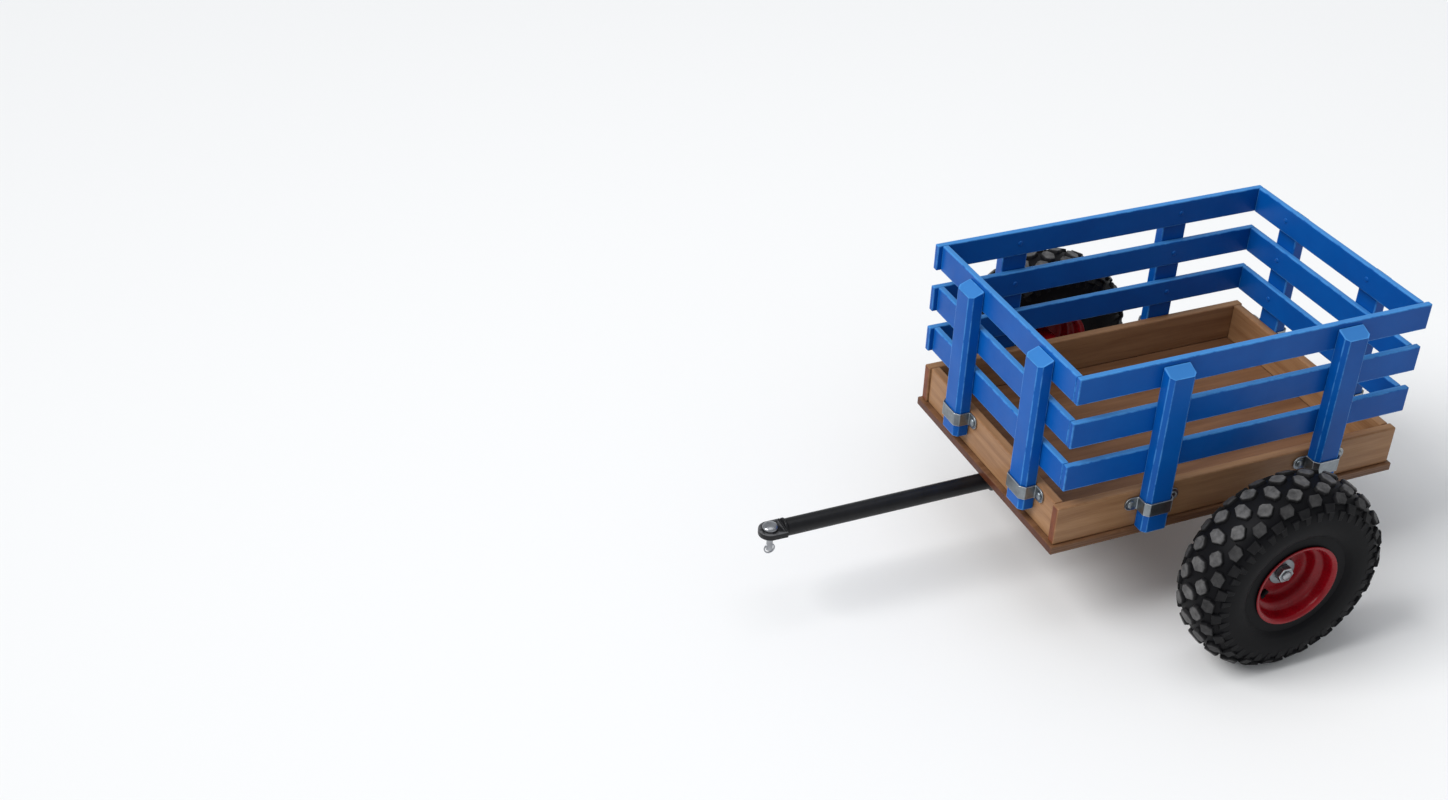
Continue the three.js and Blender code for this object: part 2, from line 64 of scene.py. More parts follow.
def shape(corners, ease, inset=0.0, fade=1.5 * mm):
    """Outline of a convex shape, corners (n, 2) anticlockwise: each corner is an arc of radius ease
    between two points that lie fade away from it along the sides. Every side moves in by inset, and
    an arc's centre stays where it is. Returns the points and 1 on the arcs, 0 off them."""
    corners = np.asarray(corners, float)
    side = np.roll(corners, -1, 0) - corners
    length = np.linalg.norm(side, axis=1, keepdims=True)
    out = np.stack([side[:, 1], -side[:, 0]], 1) / length
    before = np.roll(out, 1, 0)
    arc = max(ease - inset, least_arc)
    centre = corners - (inset + arc) * (before + out) / (1 + (before * out).sum(1, keepdims=True))
    start = np.arctan2(before[:, 1], before[:, 0])
    cross = before[:, 0] * out[:, 1] - before[:, 1] * out[:, 0]
    turn = np.arctan2(cross, (before * out).sum(1))
    angle = start[:, None] + turn[:, None] * np.linspace(0, 1, 4)
    arcs = centre[:, None] + arc * np.stack([np.cos(angle), np.sin(angle)], -1)
    along = side / length
    step = np.minimum(fade, 0.2 * length)
    enter = arcs[:, 0] - np.roll(along * step, 1, 0)
    leave = arcs[:, -1] + along * step
    points = np.concatenate([enter[:, None], arcs, leave[:, None]], 1).reshape(-1, 2)
    return points, np.tile([0.0, 1, 1, 1, 1, 0], len(corners))


def bar_of(corners, length, ease, fade=1.5 * mm):
    """A shape carried along a straight line of the given length, its two ends eased as well: near
    an end the shape draws in by ease times 1 - sin, while the line runs on by ease times 1 - cos.
    Returns rings (m, n, 3), the third number running along the line, and the edge value of each."""
    quarter = np.linspace(0, math.pi / 2, 4)
    stops = np.concatenate([[0.0], ease * (1 - np.cos(quarter)), [ease + fade]])
    insets = np.concatenate([[ease + fade], ease * (1 - np.sin(quarter)), [0.0]])
    ends = np.concatenate([[0.0], np.ones(4), [0.0]])
    stops = np.concatenate([stops, (length - stops)[::-1]])
    insets = np.concatenate([insets, insets[::-1]])
    ends = np.concatenate([ends, ends[::-1]])
    outlines = [shape(corners, ease, inset, fade) for inset in insets]
    flat = np.array([points for points, _ in outlines])
    rings = np.concatenate([flat, np.broadcast_to(stops[:, None, None], (*flat.shape[:2], 1))], 2)
    edge = np.maximum(ends[:, None], outlines[0][1][None, :])
    edge[[0, -1]] = 0.0
    return rings, edge


def loft(rings, edge=None, joined=False):
    """Skins rings (m, n, 3) in order, each closed on itself. The last joins the first, or both get
    a flat cap. If the volume inside comes out negative, every face is turned round."""
    m, n, _ = rings.shape
    index = np.arange(m * n).reshape(m, n)
    ahead = np.roll(index, -1, 0)
    if not joined:
        index, ahead = index[:-1], ahead[:-1]
    quads = np.stack([index, np.roll(index, -1, 1), np.roll(ahead, -1, 1), ahead], -1).reshape(-1, 4)
    faces = quads.tolist()
    points = rings.reshape(-1, 3)
    a, b, c, d = (points[quads[:, k]] - points[0] for k in range(4))
    volume = (np.cross(a, b) * c).sum() + (np.cross(a, c) * d).sum()
    if not joined:
        caps = [list(range(n))[::-1], list(range((m - 1) * n, m * n))]
        faces += caps
        for cap in caps:
            p = points[cap] - points[0]
            volume += (np.cross(p[0], p[1:-1]) * p[2:]).sum()
    if volume < 0:
        faces = [face[::-1] for face in faces]
    return points, faces, np.zeros(m * n) if edge is None else np.asarray(edge).reshape(-1)


def set_out(rings, origin, u, v, w):
    """Puts rings of (a, b, c) at origin + a u + b v + c w."""
    return np.asarray(origin) + rings @ np.array([u, v, w], float)


def gather(parts):
    """Joins (points, faces, edge) lists into one."""
    counts = np.cumsum([0] + [len(points) for points, _, _ in parts])
    faces = [[i + start for i in face] for (_, some, _), start in zip(parts, counts) for face in some]
    return np.concatenate([p for p, _, _ in parts]), faces, np.concatenate([e for _, _, e in parts])


def make(name, part, finish, body, stands_for=(), crease=32):
    """Makes (points, faces, edge) into a piece that rides on a body. Edges sharper than crease
    degrees stay sharp, and the edge value goes into the mesh for its material to read."""
    points, faces, edge = part
    mesh = bpy.data.meshes.new(name)
    mesh.from_pydata(points.tolist(), [], faces)
    mesh.attributes.new("edge", "FLOAT", "POINT").data.foreach_set("value", edge.astype(np.float32))
    mesh.shade_smooth()
    mesh.set_sharp_from_angle(angle=math.radians(crease))
    mesh.materials.append(finish)
    piece = bpy.data.objects.new(name, mesh)
    bpy.context.collection.objects.link(piece)
    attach(piece, body)
    if stands_for:
        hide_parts(*stands_for)
    return piece


def fill(tree, node, inputs):
    """Gives a node its inputs, by name or number, as values or as links."""
    for key, value in inputs.items():
        if isinstance(value, bpy.types.NodeSocket):
            tree.links.new(value, node.inputs[key])
        else:
            node.inputs[key].default_value = value


def add(tree, kind, inputs=None, **settings):
    """A new node with its settings and its inputs."""
    made = tree.nodes.new(kind)
    for key, value in settings.items():
        setattr(made, key, value)
    fill(tree, made, inputs or {})
    return made


def math_of(tree, operation, *values):
    """One Math node's output."""
    return add(tree, "ShaderNodeMath", dict(enumerate(values)), operation=operation).outputs[0]


def blend_colours(tree, factor, first, second, blend="MIX"):
    """One Mix node for colours, which are its seventh and eighth sockets."""
    inputs = {0: factor, 6: first, 7: second}
    return add(tree, "ShaderNodeMix", inputs, data_type="RGBA", blend_type=blend).outputs[2]


def vector_of(tree, operation, first, second=(0, 0, 0), scale=1.0):
    """One Vector Math node's vector. Its fourth socket is the scale."""
    inputs = {0: first, 1: second, 3: scale}
    return add(tree, "ShaderNodeVectorMath", inputs, operation=operation).outputs[0]


def stretched(tree, vector, x, y, z):
    """A vector multiplied by (x, y, z)."""
    return vector_of(tree, "MULTIPLY", vector, (x, y, z))


def part_of(tree, vector, axis):
    """One number of a vector: 0, 1 or 2 for x, y or z."""
    return add(tree, "ShaderNodeSeparateXYZ", {0: vector}).outputs[axis]


def noise(tree, vector, scale, detail=3.0, roughness=0.55):
    """Fractal noise from 0 to 1."""
    inputs = {"Vector": vector, "Scale": scale, "Detail": detail, "Roughness": roughness}
    return add(tree, "ShaderNodeTexNoise", inputs).outputs[0]


def group(name, inputs, outputs):
    """An empty node group with its inputs (name, kind, value) and outputs (name, kind)."""
    tree = bpy.data.node_groups.new(name, "ShaderNodeTree")
    for label, kind, value in inputs:
        socket = tree.interface.new_socket(label, in_out="INPUT", socket_type=kind)
        if value is not None:
            socket.default_value = value
    for label, kind in outputs:
        tree.interface.new_socket(label, in_out="OUTPUT", socket_type=kind)
    return tree, add(tree, "NodeGroupInput").outputs, add(tree, "NodeGroupOutput").inputs


def use(tree, made, inputs):
    """Places a node group in a material and returns its outputs."""
    placed = add(tree, "ShaderNodeGroup", node_tree=made)
    fill(tree, placed, inputs)
    return placed.outputs


def colour(red, green, blue):
    """A screen colour, each part 0 to 255, as the linear numbers that shaders use: a small share of
    255 is divided by 12.92, and a larger one plus 0.055 is divided by 1.055 and raised to 2.4."""
    part = np.array([red, green, blue]) / 255
    linear = np.where(part <= 0.04045, part / 12.92, ((part + 0.055) / 1.055) ** 2.4)
    return (*(float(x) for x in linear), 1.0)


def finish_of(name):
    """A new material: its tree, its shader, its Object coordinates and the mesh's edge value."""
    made = bpy.data.materials.new(name)
    made.use_nodes = True
    tree = made.node_tree
    where = add(tree, "ShaderNodeTexCoord").outputs["Object"]
    edge = add(tree, "ShaderNodeAttribute", attribute_name="edge").outputs["Fac"]
    return made, tree, tree.nodes["Principled BSDF"], where, edge


def facing_of(tree):
    """The direction that the surface faces, in the object's own axes."""
    return add(tree, "ShaderNodeTexCoord").outputs["Normal"]


# Wood: growth rings about a pith that wanders, and fibres drawn out along the grain, which is X.
wood_figure, figure_in, figure_out = group(
    "wood_figure",
    [
        ("Vector", "NodeSocketVector", None),
        ("Rings", "NodeSocketFloat", 260.0),
        ("Wander", "NodeSocketFloat", 1.6),
        ("Pale", "NodeSocketColor", None),
        ("Dark", "NodeSocketColor", None),
    ],
    [("Color", "NodeSocketColor"), ("Height", "NodeSocketFloat")],
)
grain = figure_in["Vector"]
warp = {"Vector": stretched(wood_figure, grain, 0.18, 1, 1), "Scale": 22.0}
drift = add(wood_figure, "ShaderNodeTexNoise", warp).outputs[1]
drift = vector_of(wood_figure, "SUBTRACT", drift, (0.5, 0.5, 0.5))
drift = vector_of(wood_figure, "SCALE", drift, scale=figure_in["Wander"])
pith = stretched(wood_figure, grain, 0.02, 1, 1)
pith = vector_of(wood_figure, "SCALE", pith, scale=figure_in["Rings"])
pith = vector_of(wood_figure, "ADD", pith, (0, 9, -14))
pith = vector_of(wood_figure, "ADD", pith, stretched(wood_figure, drift, 0, 9, 9))
pith = stretched(wood_figure, pith, 0, 1, 1)
reach = add(wood_figure, "ShaderNodeVectorMath", {0: pith}, operation="LENGTH").outputs["Value"]
ring = math_of(wood_figure, "MULTIPLY_ADD", math_of(wood_figure, "SINE", reach), 0.5, 0.5)
ring = math_of(wood_figure, "POWER", ring, 2.2)
fibre = noise(wood_figure, stretched(wood_figure, grain, 0.035, 1, 1), 900.0, 4.0, 0.65)
streak = noise(wood_figure, stretched(wood_figure, grain, 0.06, 1, 1), 120.0, 3.0)
tone = math_of(wood_figure, "MULTIPLY_ADD", ring, 0.24, math_of(wood_figure, "MULTIPLY", fibre, 0.7))
tone = math_of(wood_figure, "ADD", tone, math_of(wood_figure, "MULTIPLY_ADD", streak, 1.1, -0.55))
figure = blend_colours(wood_figure, tone, figure_in["Pale"], figure_in["Dark"])
wood_figure.links.new(figure, figure_out["Color"])
wood_figure.links.new(math_of(wood_figure, "MULTIPLY_ADD", ring, 0.5, fibre), figure_out["Height"])

# Mottle: cloudy noise brought between two values, for gloss and tone that aren't even.
mottle, mottle_in, mottle_out = group(
    "mottle",
    [
        ("Vector", "NodeSocketVector", None),
        ("Scale", "NodeSocketFloat", 20.0),
        ("Low", "NodeSocketFloat", 0.3),
        ("High", "NodeSocketFloat", 0.5),
    ],
    [("Value", "NodeSocketFloat")],
)
cloud = noise(mottle, mottle_in["Vector"], mottle_in["Scale"], 5.0, 0.6)
spread = {"Value": cloud, "From Min": 0.3, "From Max": 0.7}
spread |= {"To Min": mottle_in["Low"], "To Max": mottle_in["High"]}
mottle.links.new(add(mottle, "ShaderNodeMapRange", spread).outputs[0], mottle_out["Value"])

# Worn edges: the mesh's edge value, broken up by noise so that only some of the arris shows.
worn_edge, worn_in, worn_out = group(
    "worn_edge",
    [
        ("Edge", "NodeSocketFloat", 0.0),
        ("Vector", "NodeSocketVector", None),
        ("Scale", "NodeSocketFloat", 90.0),
        ("Amount", "NodeSocketFloat", 0.5),
    ],
    [("Mask", "NodeSocketFloat")],
)
chips = noise(worn_edge, worn_in["Vector"], worn_in["Scale"], 4.0, 0.65)
chips = math_of(worn_edge, "MULTIPLY", chips, worn_in["Edge"])
cut_off = math_of(worn_edge, "SUBTRACT", 0.75, math_of(worn_edge, "MULTIPLY", worn_in["Amount"], 0.5))
bare_from = math_of(worn_edge, "ADD", cut_off, 0.18)
spread = {"Value": chips, "From Min": cut_off, "From Max": bare_from}
worn_edge.links.new(add(worn_edge, "ShaderNodeMapRange", spread).outputs[0], worn_out["Mask"])


def cloudy(tree, where, scale, first, second):
    """Two colours mottled together."""
    tint = use(tree, mottle, {"Vector": where, "Scale": scale, "Low": 0.0, "High": 1.0})["Value"]
    return blend_colours(tree, tint, first, second)


def worn(tree, edge, where, scale, amount, strength):
    """How worn the edges are: the worn edge mask, its size and amount given, times a strength."""
    inputs = {"Edge": edge, "Vector": where, "Scale": scale, "Amount": amount}
    return math_of(tree, "MULTIPLY", use(tree, worn_edge, inputs)["Mask"], strength)


def uneven_gloss(tree, shader, where, scale, low, high):
    """Roughness that wanders between two values."""
    inputs = {"Vector": where, "Scale": scale, "Low": low, "High": high}
    tree.links.new(use(tree, mottle, inputs)["Value"], shader.inputs["Roughness"])


def surface_relief(tree, shader, height, strength, deep):
    """A height from 0 to 1 that bends the light as if it were so deep."""
    inputs = {"Height": height, "Strength": strength, "Distance": deep}
    tree.links.new(add(tree, "ShaderNodeBump", inputs).outputs[0], shader.inputs["Normal"])


board_tones = colour(164, 125, 89), colour(118, 80, 51)
plywood_tones = colour(128, 92, 64), colour(86, 56, 36)
end_grain = colour(190, 138, 112)
plywood_glue = colour(66, 40, 26)
ply = 1.8 * mm


def varnished_wood(name, turn, tones, shift=(0, 0, 0), layer=None):
    """Clear satin varnish over wood whose grain runs along X once turned about Z. Faces that the
    grain meets end on are darker. Upright faces show plywood's layers as bands, each so thick."""
    made, tree, shader, where, edge = finish_of(name)
    inputs = {"Vector": where, "Rotation": (0, 0, turn), "Location": shift}
    turned = add(tree, "ShaderNodeMapping", inputs).outputs[0]
    figure = use(tree, wood_figure, {"Vector": turned, "Pale": tones[0], "Dark": tones[1]})
    facing = facing_of(tree)
    inputs = {"Vector": facing, "Rotation": (0, 0, turn)}
    lengthwise = part_of(tree, add(tree, "ShaderNodeMapping", inputs).outputs[0], 0)
    ends = math_of(tree, "POWER", math_of(tree, "ABSOLUTE", lengthwise), 6.0)
    thirsty = blend_colours(tree, 1.0, figure["Color"], end_grain, "MULTIPLY")
    base = blend_colours(tree, ends, figure["Color"], thirsty)
    if layer:
        height = part_of(tree, where, 2)
        band = math_of(tree, "SINE", math_of(tree, "MULTIPLY", height, math.pi / layer))
        band = math_of(tree, "MULTIPLY_ADD", band, 0.25, 0.25)
        level = math_of(tree, "ABSOLUTE", part_of(tree, facing, 2))
        upright = math_of(tree, "LESS_THAN", level, 0.5)
        base = blend_colours(tree, math_of(tree, "MULTIPLY", band, upright), base, plywood_glue)
    rubbed = worn(tree, edge, where, scale=90.0, amount=0.75, strength=0.35)
    tree.links.new(blend_colours(tree, rubbed, base, tones[1]), shader.inputs["Base Color"])
    uneven_gloss(tree, shader, where, scale=25.0, low=0.38, high=0.55)
    surface_relief(tree, shader, figure["Height"], strength=0.25, deep=0.15 * mm)
    shader.inputs["Specular IOR Level"].default_value = 0.2
    shader.inputs["Coat Weight"].default_value = 0.12
    shader.inputs["Coat Roughness"].default_value = 0.22
    return made


floor_finish = varnished_wood("varnished_plywood", 0.0, plywood_tones, (0.1, 0.05, 0.02), ply)
floor_low, floor_high = box_of("floor_panel")
floor_top = floor_high[2]
floor_ease = 1.2 * mm
rebate = 1.0 * mm
field_ease = 0.3 * mm
x_axis, y_axis, z_axis = np.eye(3)
panel_corners = oblong(*floor_low[:2], *floor_high[:2])
rings, edge = bar_of(panel_corners, floor_top - floor_low[2] - rebate, floor_ease)
panel = loft(set_out(rings, z_axis * floor_low[2], x_axis, y_axis, z_axis), edge)
# the field inside the boards stands a rebate higher than the ledge
field_high = np.array([box_of("front_end_board")[0][0], box_of("left_side_board")[0][1]]) - fit
field_low = np.array([box_of("rear_end_board")[1][0], box_of("right_side_board")[1][1]]) + fit
rings, edge = bar_of(oblong(*field_low, *field_high), 2 * rebate, field_ease)
field = loft(set_out(rings, z_axis * (floor_top - 2 * rebate), x_axis, y_axis, z_axis), edge)
make("floor", gather([panel, field]), floor_finish, "cart", ["floor_panel"])

# ---------------------------------------------------------------- boards of the box
# Four planed softwood boards stand on the floor. The long ones run past the short ones, so the
# wagon's ends show their end grain; the arrises are eased and everything is varnished.


def timber(node, ease):
    """A straight piece of wood that fills a CAD node's box, its length along the box's longest side."""
    low, high = box_of(node)
    run = int(np.argmax(high - low))
    u, v = [axis for axis in range(3) if axis != run]
    corners = oblong(low[u], low[v], high[u], high[v])
    rings, edge = bar_of(corners, high[run] - low[run], ease)
    axes = x_axis, y_axis, z_axis
    return loft(set_out(rings, axes[run] * low[run], axes[u], axes[v], axes[run]), edge)


board_along = varnished_wood("varnished_board_along", 0.0, board_tones)
board_across = varnished_wood("varnished_board_across", math.pi / 2, board_tones, (0.05, 0.02, 0.01))
board_ease = 1.6 * mm
for side in ["left", "right"]:
    node = f"{side}_side_board"
    make(f"{side}_board", timber(node, board_ease), board_along, "cart", [node])
for end in ["front", "rear"]:
    node = f"{end}_end_board"
    make(f"{end}_board", timber(node, board_ease), board_across, "cart", [node])

# ---------------------------------------------------------------- racks
# Each rack is three thin slats screwed to two stout stakes, painted blue before it is fitted.
# It isn't fixed to the box: its stakes slide down into the straps and it lifts straight off.

paint_blue, paint_deep = colour(2, 84, 165), colour(3, 74, 152)
# the two paler blues on this line are painted highlights: one along the arrises, partly thin paint, and
# one on faces turned up
paint_thin_and_highlight, paint_sky_highlight = colour(84, 158, 222), colour(78, 150, 212)


def blue_paint(name, turn):
    """Semi-gloss enamel brushed on wood, with the grain just showing through along X once turned,
    thinner, paler paint on the arrises that also serves as a painted highlight along them, and a
    painted highlight, paler, where it faces up, in place of the sky's reflection."""
    made, tree, shader, where, edge = finish_of(name)
    turned = add(tree, "ShaderNodeMapping", {"Vector": where, "Rotation": turn}).outputs[0]
    base = cloudy(tree, where, 14.0, paint_blue, paint_deep)
    # painted highlight: faces turned up are blended towards a paler blue, in place of the sky's
    # reflection on the gloss
    upward = math_of(tree, "MAXIMUM", part_of(tree, facing_of(tree), 2), 0.0)
    sky_highlight = math_of(tree, "MULTIPLY", math_of(tree, "POWER", upward, 3.0), 0.6)
    base = blend_colours(tree, sky_highlight, base, paint_sky_highlight)
    # painted highlight as well as worn paint: the arrises are blended towards a paler blue
    thin_and_highlight = worn(tree, edge, where, scale=60.0, amount=0.8, strength=0.42)
    tree.links.new(blend_colours(tree, thin_and_highlight, base, paint_thin_and_highlight), shader.inputs["Base Color"])
    uneven_gloss(tree, shader, where, scale=30.0, low=0.3, high=0.46)
    grain = noise(tree, stretched(tree, turned, 0.05, 1, 1), 420.0, 4.0, 0.6)
    peel = noise(tree, where, 700.0, 2.0)
    height = math_of(tree, "MULTIPLY_ADD", peel, 0.3, grain)
    surface_relief(tree, shader, height, strength=0.3, deep=0.12 * mm)
    shader.inputs["Specular IOR Level"].default_value = 0.16
    return made


paint_along = blue_paint("blue_paint_along", (0, 0, 0))
paint_across = blue_paint("blue_paint_across", (0, 0, math.pi / 2))
paint_upright = blue_paint("blue_paint_upright", (0, math.pi / 2, 0))
slat_ease = 1.3 * mm
stake_ease = 1.4 * mm
stake_chamfer = 5 * mm
head_fall = 9 * mm
outward = {"left": y_axis, "right": -y_axis, "front": x_axis, "rear": -x_axis}
stakes_of = {
    "left": ["front", "rear"],
    "right": ["rear", "front"],
    "front": ["right", "left"],
    "rear": ["left", "right"],
}


def stake_frame(node, out):
    """Where a stake stands: the middle of its inner face at the foot, its side and outward axes,
    half its width, its thickness and its height."""
    low, high = box_of(node)
    across = np.cross(z_axis, out)
    size = high - low
    middle = (low + high) / 2
    thick = abs(size @ out)
    foot = middle - out * thick / 2 - z_axis * size[2] / 2
    return foot, across, abs(size @ across) / 2, thick, size[2]


def stake(node, out):
    """A stake's shape, planed off at both outer corners, carried up from its foot. Its head is sawn
    to fall outward: a point loses head_fall times its share of the thickness times its share of
    the height to the power 40, so that only the head leans."""
    foot, across, half, thick, height = stake_frame(node, out)
    shelf, flat = thick - stake_chamfer, half - stake_chamfer
    corners = [(-half, 0), (half, 0), (half, shelf), (flat, thick), (-flat, thick), (-half, shelf)]
    rings, edge = bar_of(corners, height, stake_ease)
    rings[..., 2] -= head_fall * (rings[..., 1] / thick) * (rings[..., 2] / height) ** 40
    return loft(set_out(rings, foot, across, out, z_axis), edge)


def spin(profile, steps):
    """A profile (m, 2) of radius and place along the axis, turned once round: rings (m, steps, 3)
    of radius cos, radius sin and the place along."""
    profile = np.asarray(profile, float)
    angle = np.linspace(0, 2 * math.pi, steps, endpoint=False)
    radius = profile[:, :1]
    along = np.broadcast_to(profile[:, 1:], (len(profile), steps))
    return np.stack([radius * np.cos(angle), radius * np.sin(angle), along], -1)


def dome(radius, height, skirt):
    """Profile of a round head, sunk a little into what it holds: a short straight skirt, and nearly
    a quarter of an ellipse above it."""
    angle = np.linspace(0, math.pi / 2 * 0.97, 7)
    curve = np.stack([radius * np.cos(angle), skirt + (height - skirt) * np.sin(angle)], 1)
    return np.concatenate([[(radius * 0.96, -0.2 * mm)], [(radius, 0.15 * mm)], curve])


screw_head = dome(3.4 * mm, 1.1 * mm, 0.3 * mm)
for side, out in outward.items():
    body = f"{side}_rack"
    along = paint_along if abs(out[1]) > 0.5 else paint_across
    heads = []
    for level in ["bottom", "middle", "top"]:
        node = f"{side}_rack_{level}_slat"
        make(f"{side}_{level}_slat", timber(node, slat_ease), along, body, [node])
        slat_low, slat_high = box_of(node)
        inner_face = (slat_low + slat_high) / 2 - (slat_high - slat_low) / 2 * out
        for which in stakes_of[side]:
            foot, across, *_ = stake_frame(f"{side}_rack_{which}_stake", out)
            place = inner_face + across * ((foot - inner_face) @ across)
            heads.append(loft(set_out(spin(screw_head, 16), place, across, z_axis, -out)))
    for which in stakes_of[side]:
        node = f"{side}_rack_{which}_stake"
        make(f"{side}_{which}_stake", stake(node, out), paint_upright, body, [node])
    make(f"{side}_rack_screws", gather(heads), along, body)

# ---------------------------------------------------------------- strap brackets
# Eight straps of zinc plated steel strip, bent round the stakes and bolted to the boards through
# an ear at each side. They follow the stakes' planed corners and hold them without being tight.


def zinc_plate(name, tone=(150, 157, 162), low=0.28, high=0.48):
    """Zinc on bright steel: a slightly cloudy, spangled bloom, rubbed bright on the edges, its
    roughness from low to high."""
    made, tree, shader, where, edge = finish_of(name)
    spangle = add(tree, "ShaderNodeTexVoronoi", {"Vector": where, "Scale": 260.0}).outputs["Color"]
    spangle = math_of(tree, "MULTIPLY_ADD", spangle, 0.16, -0.08)
    cloud = use(tree, mottle, {"Vector": where, "Scale": 70.0, "Low": 0.15, "High": 0.8})["Value"]
    dull = colour(*(0.72 * part for part in tone))
    base = blend_colours(tree, math_of(tree, "ADD", cloud, spangle), colour(*tone), dull)
    bright = worn(tree, edge, where, scale=200.0, amount=1.0, strength=0.6)
    base = blend_colours(tree, bright, base, colour(205, 208, 210))
    tree.links.new(base, shader.inputs["Base Color"])
    uneven_gloss(tree, shader, where, scale=110.0, low=low, high=high)
    surface_relief(tree, shader, noise(tree, where, 900.0, 3.0), strength=0.15, deep=0.05 * mm)
    shader.inputs["Metallic"].default_value = 1.0
    return made


zinc = zinc_plate("zinc_plate")
strap_sheet = 2 * mm
strap_bend = 2.2 * mm


def bent(corners, radius, steps=5):
    """A line through corners (n, 2) in which each inner corner is rounded to an arc of the given
    radius: the arc starts and ends radius times tan(turn / 2) before and after the corner."""
    corners = np.asarray(corners, float)
    before = corners[1:-1] - corners[:-2]
    after = corners[2:] - corners[1:-1]
    before = before / np.linalg.norm(before, axis=1, keepdims=True)
    after = after / np.linalg.norm(after, axis=1, keepdims=True)
    cross = before[:, 0] * after[:, 1] - before[:, 1] * after[:, 0]
    turn = np.arctan2(cross, (before * after).sum(1))
    cut = radius * np.tan(np.abs(turn) / 2)
    normal = np.stack([-before[:, 1], before[:, 0]], 1) * np.sign(turn)[:, None]
    start = corners[1:-1] - before * cut[:, None]
    centre = start + normal * radius
    angle = turn[:, None] * np.linspace(0, 1, steps)
    arm = -normal * radius
    cos, sin = np.cos(angle)[..., None], np.sin(angle)[..., None]
    arcs = centre[:, None] + arm[:, None] * cos + np.stack([-arm[:, 1], arm[:, 0]], 1)[:, None] * sin
    return np.concatenate([corners[:1], arcs.reshape(-1, 2), corners[-1:]])


def strip(path, tall, sheet, ease=0.5 * mm):
    """Sheet of one thickness along a path (n, 2): its rounded section stands across the path, and
    reaches tall (n) above and below it in the third direction. Returns rings of (a, b, c) and their
    edge values."""
    step = np.gradient(path, axis=0)
    step = step / np.linalg.norm(step, axis=1, keepdims=True)
    normal = np.stack([-step[:, 1], step[:, 0]], 1)
    half = sheet / 2
    sections = [shape(oblong(-half, -t, half, t), ease, fade=0.8 * mm) for t in tall]
    across = np.array([points for points, _ in sections])
    edge = np.array([values for _, values in sections])
    flat = path[:, None] + normal[:, None] * across[..., :1]
    return np.concatenate([flat, across[..., 1:]], 2), edge


strap_bolt = dome(5.4 * mm, 3.2 * mm, 0.8 * mm)
ear_turn = np.linspace(0.3, math.pi / 2, 7)
bolts = []
for side, out in outward.items():
    for which in stakes_of[side]:
        node = f"{side}_strap_{which}"
        low, high = box_of(node)
        foot, across, half, thick, _ = stake_frame(f"{side}_rack_{which}_stake", out)
        near = strap_sheet / 2
        leg = half + fit + near
        face = thick + fit + near
        ear = abs((high - low) @ across) / 2
        tall = (high[2] - low[2]) / 2
        # an ear ends in a half circle: tall times sin high, and drawn in by tall times 1 - cos
        round_end = ear - tall * (1 - np.cos(ear_turn))
        shelf, flat = face - stake_chamfer, leg - stake_chamfer
        right = [(round_end[-1], near), (leg, near), (leg, shelf), (flat, face)]
        line = bent(right + [(-x, y) for x, y in right[::-1]], strap_bend)
        tip = np.stack([round_end[:-1], np.full(len(ear_turn) - 1, near)], 1)
        line = np.concatenate([tip, line, (tip * (-1, 1))[::-1]])
        tip_talls = tall * np.sin(ear_turn)
        talls = np.concatenate([tip_talls, np.full(len(line) - 2 * len(ear_turn), tall), tip_talls[::-1]])
        rings, edge = strip(line, talls, strap_sheet)
        middle = foot * (1, 1, 0) + z_axis * (low[2] + high[2]) / 2
        part = loft(set_out(rings, middle, across, out, z_axis), edge)
        make(f"{side}_{which}_strap", part, zinc, "cart", [node])
        hole = (leg + near + ear) / 2
        for x in [-hole, hole]:
            place = middle + across * x + out * strap_sheet
            bolts.append(loft(set_out(spin(strap_bolt, 24), place, across, z_axis, out)))
make("strap_bolts", gather(bolts), zinc, "cart")

# ---------------------------------------------------------------- axle
# A drawn steel rod right across under the floor, turned down at both ends for the wheel bearings.
# Two black saddles bent from flat bar clamp it up against the plywood.


def black_paint(name):
    """Satin black powder coat, with a fine orange peel and a little bare steel on the edges."""
    made, tree, shader, where, edge = finish_of(name)
    base = cloudy(tree, where, 60.0, colour(10, 10, 13), colour(19, 19, 22))
    bare = worn(tree, edge, where, scale=160.0, amount=0.9, strength=0.6)
    base = blend_colours(tree, bare, base, colour(110, 110, 112))
    tree.links.new(base, shader.inputs["Base Color"])
    uneven_gloss(tree, shader, where, scale=45.0, low=0.32, high=0.5)
    surface_relief(tree, shader, noise(tree, where, 800.0, 2.0), strength=0.25, deep=0.08 * mm)
    shader.inputs["Specular IOR Level"].default_value = 0.3
    return made


black = black_paint("black_powder_coat")
steel = zinc_plate("bright_steel", tone=(176, 178, 182), low=0.2, high=0.4)

axle_low, axle_high = box_of("axle_rod")
axle = (axle_low + axle_high) / 2
axle_end = axle_high[1]
axle_radius = (axle_high[2] - axle_low[2]) / 2
journal = 6 * mm
axle_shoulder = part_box("left_wheel_inner_bearing")[0][1] - fit
core = 0.3 * mm
half_axle = [
    (axle_radius, axle_shoulder - 0.6 * mm),
    (axle_radius - 0.5 * mm, axle_shoulder),
    (journal, axle_shoulder),
    (journal, axle_end - 1.2 * mm),
    (journal - 0.6 * mm, axle_end - 0.4 * mm),
    (journal - 1.6 * mm, axle_end),
    (core, axle_end),
]
profile = [(r, -y) for r, y in half_axle[::-1]] + half_axle
rod = loft(set_out(spin(profile, 40), axle * (1, 0, 1), x_axis, z_axis, y_axis))
make("axle", rod, steel, "cart", ["axle_rod"])


saddle_sheet = 3 * mm
saddle_bolt = dome(5.2 * mm, 3.4 * mm, 1.2 * mm)


